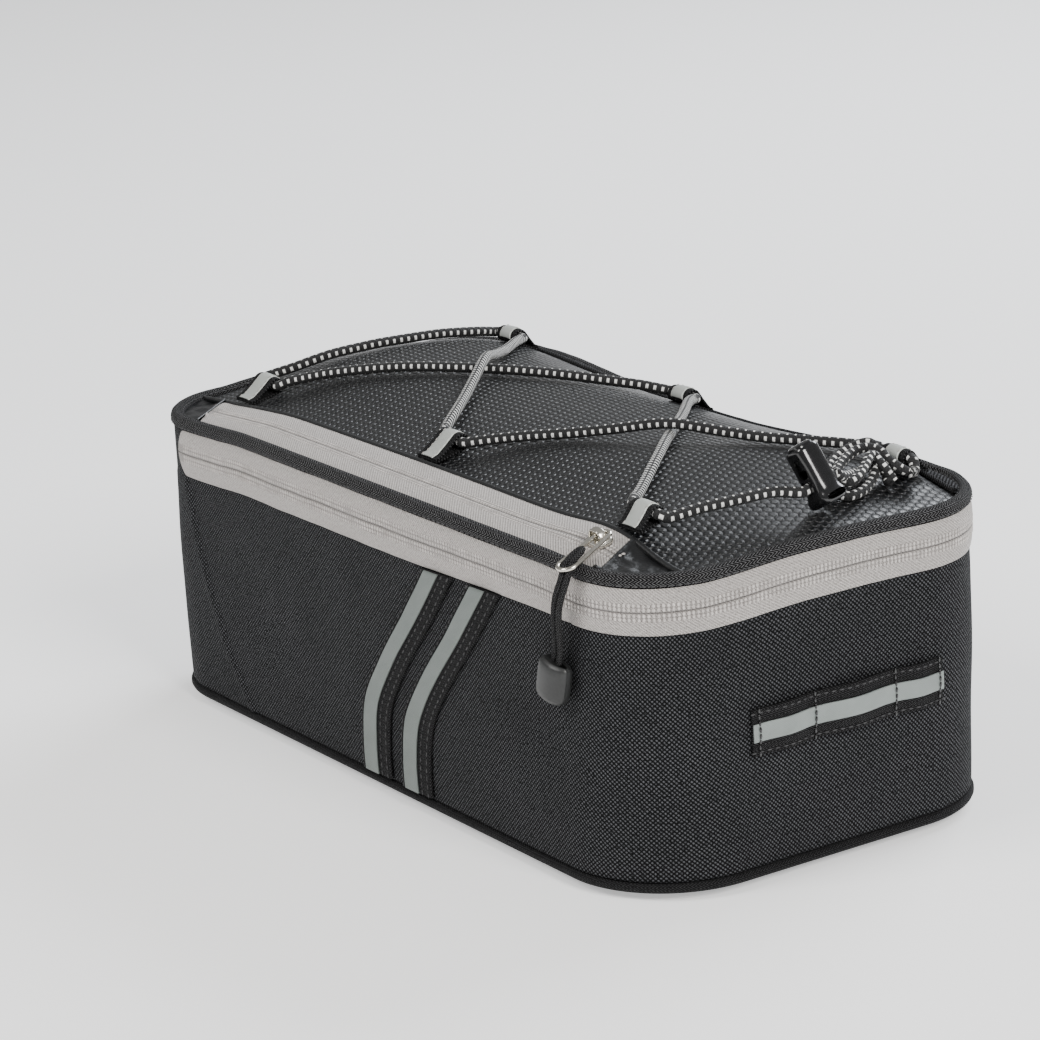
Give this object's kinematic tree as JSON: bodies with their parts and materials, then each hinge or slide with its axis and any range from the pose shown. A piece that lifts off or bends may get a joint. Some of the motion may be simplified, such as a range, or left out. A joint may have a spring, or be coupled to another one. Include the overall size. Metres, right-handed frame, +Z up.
{
  "type": "bicycle rear rack bag",
  "caption": "Soft padded rear rack bag with a crowned zipped lid, crossed elastic cord in webbing loops, cord lock, reflective tapes and a lamp strap",
  "frame": {"origin": "on the surface that the bag stands on, under the middle of its box, measured without the hanging zip pull and the tied cord end", "axes": "+X is the rear wall with the lamp strap, -Y the side with the slanted tapes and the pocket zip, +Z up"},
  "size_m": [0.352, 0.1789, 0.1485],
  "materials": {
    "black_cloth": "matte woven polyester",
    "grey_zip_tape": "matte light grey woven tape",
    "black_webbing": "matte black webbing",
    "dimpled_panel": "half gloss dimpled coated cloth",
    "gloss_patch": "glossy coated cloth",
    "reflective_tape": "grey reflective tape",
    "elastic_cord": "black braid with pale flecks",
    "nickel": "bright nickel plate",
    "rubber_grip": "satin dark grey rubber",
    "lock_plastic": "gloss black plastic"
  },
  "bodies": {
    "bag": {"body_shell": "black_cloth", "base_piping": "black_cloth", "main_zip_band": "grey_zip_tape", "rim_binding": "black_webbing", "lid_panel": "dimpled_panel", "pocket_zip_band": "grey_zip_tape", "pocket_corner_front": "gloss_patch", "pocket_corner_rear": "gloss_patch", "lid_border_far": "black_cloth", "near_piping": "black_webbing", "far_piping": "black_webbing", "cord_loop_near_front": "black_webbing", "cord_loop_near_middle": "black_webbing", "cord_loop_near_rear": "black_webbing", "cord_loop_far_front": "black_webbing", "cord_loop_far_middle": "black_webbing", "cord_loop_far_rear": "black_webbing", "bungee_cord": "elastic_cord", "cord_bundle": "elastic_cord", "cord_lock_body": "lock_plastic", "side_webbing_front": "black_webbing", "side_webbing_rear": "black_webbing", "side_reflector_front": "reflective_tape", "side_reflector_rear": "reflective_tape", "light_strap": "black_webbing", "light_strap_reflector": "reflective_tape", "base_strap_front": "black_webbing", "base_strap_rear": "black_webbing", "pocket_slider": "nickel", "pull_ring": "nickel", "pull_cord": "elastic_cord", "pull_grip": "rubber_grip", "main_slider": "nickel"},
    "lock_button": {"cord_lock_button": "lock_plastic"}
  },
  "joints": [
    {"name": "lock_press", "type": "slide", "parent": "bag", "child": "lock_button", "axis": [0.4459, 0.2194, -0.8678], "range_m": [0, 0.003], "stiffness_N_per_m": 500}
  ]
}
